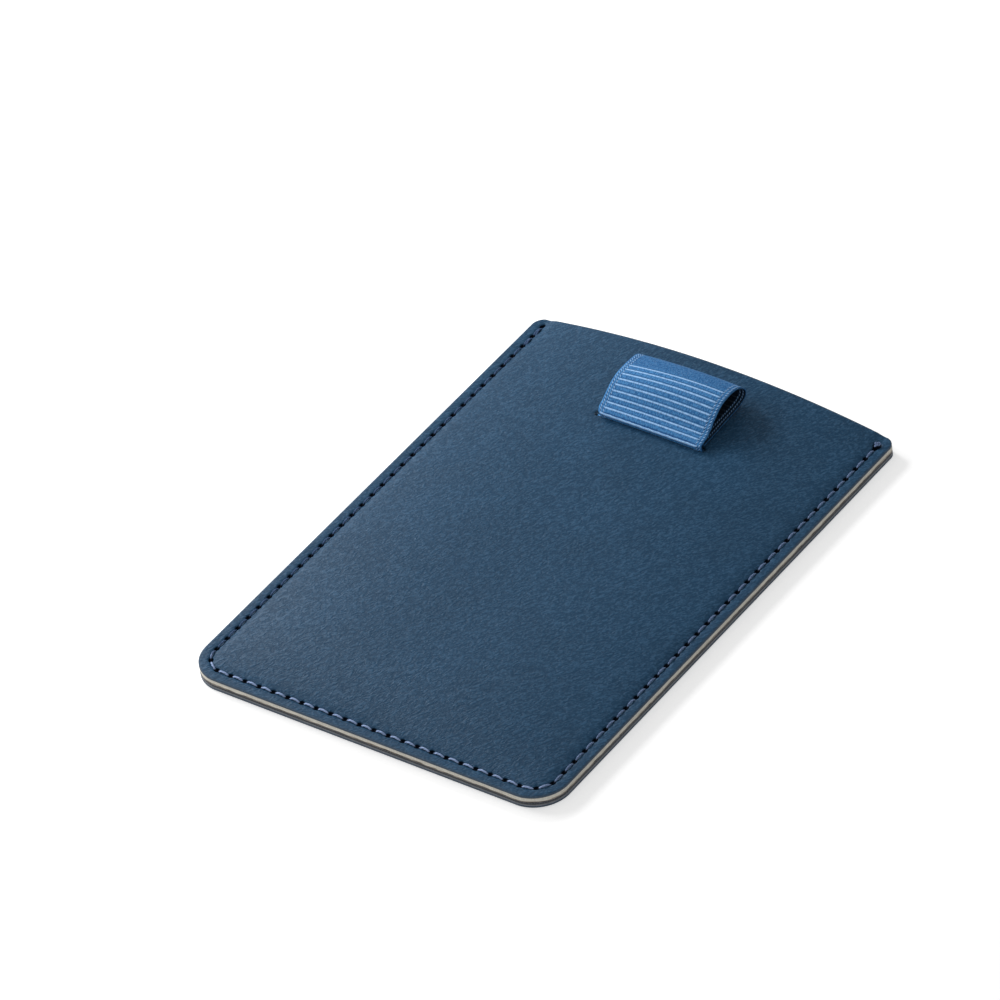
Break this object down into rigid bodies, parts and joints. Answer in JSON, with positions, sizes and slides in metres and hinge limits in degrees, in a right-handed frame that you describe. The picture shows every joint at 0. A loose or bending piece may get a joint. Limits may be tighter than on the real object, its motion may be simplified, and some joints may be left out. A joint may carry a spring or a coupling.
{
  "type": "card sleeve",
  "caption": "Slim laminated card sleeve, open at one short end, with a ribbon tab that lifts the cards out through a slit in its front.",
  "frame": {"origin": "middle of the sleeve's flat back, on the surface it lies on", "axes": "+Y towards the open mouth, +Z out of the front, +X to the right seen from the front with the mouth up"},
  "size_m": [0.0706, 0.098, 0.01],
  "materials": {
    "navy_leather": "satin synthetic leather with a fine grain",
    "cream_backing": "matt fibre backing, cut edge shows",
    "grey_backing": "matt fibre backing, cut edge shows",
    "shielding_foil": "thin metal foil, sealed between the sheets",
    "dark_lining": "matt woven lining",
    "blue_ribbon": "ribbed woven ribbon with selvedges",
    "blue_thread": "twisted sewing thread",
    "ribbon_thread": "twisted sewing thread"
  },
  "bodies": {
    "holder": {"back_skin": "navy_leather", "back_backing": "grey_backing", "back_foil": "shielding_foil", "back_lining": "dark_lining", "front_lining": "dark_lining", "front_foil": "shielding_foil", "front_backing": "cream_backing", "front_skin": "navy_leather", "seam_needle_thread": "blue_thread", "seam_bobbin_thread": "blue_thread", "left_backtack": "blue_thread", "right_knot": "blue_thread", "ribbon_throat": "blue_ribbon", "ribbon_front_run": "blue_ribbon", "ribbon_back_run": "blue_ribbon", "ribbon_anchor_patch": "blue_ribbon", "anchor_stitches": "ribbon_thread"},
    "tab_neck": {"ribbon_neck": "blue_ribbon"},
    "pull_tab": {"pull_tab_loop": "blue_ribbon", "tab_stitches": "ribbon_thread"},
    "turn": {"ribbon_turn": "blue_ribbon"}
  },
  "joints": [
    {"name": "tab_swing", "type": "hinge", "parent": "holder", "child": "tab_neck", "pos_m": [0, 0.03038, 0.00513], "axis": [1, 0, 0], "range_deg": [0, 100], "deforming": ["ribbon_neck"]},
    {"name": "tab_pull", "type": "slide", "parent": "tab_neck", "child": "pull_tab", "axis": [0, 0.9397, 0.342], "range_m": [0, 0.06]},
    {"name": "turn_lift", "type": "slide", "parent": "holder", "child": "turn", "axis": [0, 1, 0], "range_m": [0, 0.03], "deforming": ["ribbon_front_run", "ribbon_back_run"]}
  ],
  "couplings": [
    {"joint": "turn_lift", "follows": "tab_pull", "ratio": 0.5}
  ]
}
